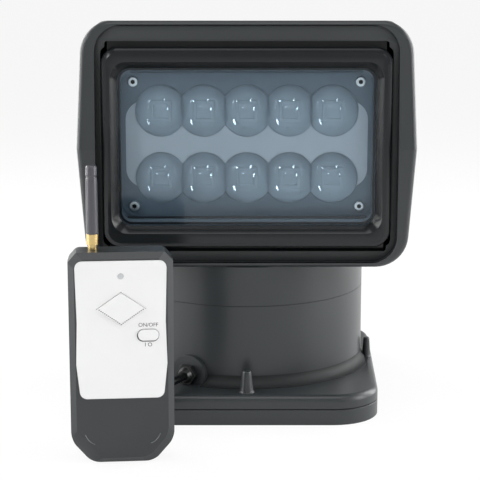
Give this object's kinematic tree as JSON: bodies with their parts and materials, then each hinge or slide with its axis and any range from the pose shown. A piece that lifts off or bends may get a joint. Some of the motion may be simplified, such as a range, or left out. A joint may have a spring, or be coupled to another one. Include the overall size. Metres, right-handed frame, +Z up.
{
  "type": "marine searchlight",
  "caption": "Marine searchlight with a motorised head that pans on a round column, a lamp that tilts in it, a flat base and a radio handset.",
  "frame": {"origin": "on the pan axis, at the underside of the base", "axes": "+Z up along the pan axis, -Y is where the lamp faces at rest, +X to the right seen from the front"},
  "size_m": [0.1946, 0.37, 0.2314],
  "materials": {
    "dark_shell": "satin",
    "lamp_metal": "satin",
    "rubber": "satin",
    "black_plastic": "gloss",
    "steel": "brushed",
    "motor_steel": "brushed",
    "brass": "polished",
    "gear_plastic": "satin",
    "board": "satin",
    "window": "clear",
    "tray": "satin",
    "lens": "clear",
    "led": "satin",
    "aluminium": "cast",
    "handset_shell": "satin",
    "white_panel": "satin",
    "indicator": "clear",
    "battery": "satin",
    "antenna": "satin"
  },
  "bodies": {
    "base": {"base_plate": "dark_shell", "mount_inserts": "brass", "base_seal": "rubber", "base_cover": "dark_shell", "cover_screws": "steel", "column": "dark_shell", "foot_ring": "dark_shell", "column_screws": "steel", "cable_gland": "black_plastic", "gland_nut": "black_plastic", "power_lead": "rubber", "lead_coil": "rubber", "lead_tail": "rubber", "power_plug": "black_plastic", "gear_deck": "dark_shell", "deck_screws": "steel", "control_board": "board", "pan_motor": "motor_steel", "thrust_washer": "gear_plastic"},
    "pan_drive": {"pan_pinion": "gear_plastic"},
    "turret": {"neck": "dark_shell", "pan_gear": "gear_plastic", "spindle_clip": "steel", "lower_shell": "dark_shell", "upper_shell": "dark_shell", "turret_screws": "steel", "shell_screws": "steel", "tilt_bushes": "gear_plastic", "tilt_motor": "motor_steel", "motor_clamp": "dark_shell", "clamp_screws": "steel"},
    "tilt_drive": {"tilt_pinion": "gear_plastic"},
    "lamp": {"lamp_case": "lamp_metal", "bezel": "lamp_metal", "window_seal": "rubber", "glass": "window", "optic_tray": "tray", "lenses": "lens", "tray_screws": "steel", "led_board": "aluminium", "leds": "led", "heat_sink": "aluminium", "sink_screws": "steel", "bezel_screws": "steel", "trunnions": "steel", "tilt_sector": "gear_plastic"},
    "handset": {"handset_front": "handset_shell", "handset_back": "handset_shell", "handset_panel": "white_panel", "indicator": "indicator", "handset_board": "board", "battery": "battery", "battery_door": "handset_shell", "handset_screws": "steel", "antenna_collar": "brass", "antenna_sleeve": "antenna"},
    "power_key": {"power_button": "white_panel"},
    "direction_key": {"direction_pad": "white_panel"}
  },
  "joints": [
    {"name": "pan", "type": "hinge", "parent": "base", "child": "turret", "pos_m": [0, 0, 0.0661], "axis": [0, 0, 1], "range_deg": [-180, 180]},
    {"name": "tilt", "type": "hinge", "parent": "turret", "child": "lamp", "pos_m": [0, -0.04, 0.1589], "axis": [-1, 0, 0], "range_deg": [-35, 35]},
    {"name": "pan_pinion_spin", "type": "hinge", "parent": "base", "child": "pan_drive", "pos_m": [0, 0.0526, 0.0556], "axis": [0, 0, 1], "range_deg": [-721, 721]},
    {"name": "tilt_pinion_spin", "type": "hinge", "parent": "turret", "child": "tilt_drive", "pos_m": [0, 0.0261, 0.1589], "axis": [-1, 0, 0], "range_deg": [-186, 186]},
    {"name": "handset_lift", "type": "slide", "parent": "base", "child": "handset", "axis": [0, 0, 1], "range_m": [0, 0.15]},
    {"name": "power_press", "type": "slide", "parent": "handset", "child": "power_key", "axis": [-0.0872, 0.9962, 0], "range_m": [0, 0.0008], "stiffness_N_per_m": 300},
    {"name": "direction_press", "type": "slide", "parent": "handset", "child": "direction_key", "axis": [-0.0872, 0.9962, 0], "range_m": [0, 0.0008], "stiffness_N_per_m": 300}
  ],
  "couplings": [
    {"joint": "pan_pinion_spin", "follows": "pan", "ratio": -4},
    {"joint": "tilt_pinion_spin", "follows": "tilt", "ratio": -5.2857}
  ]
}
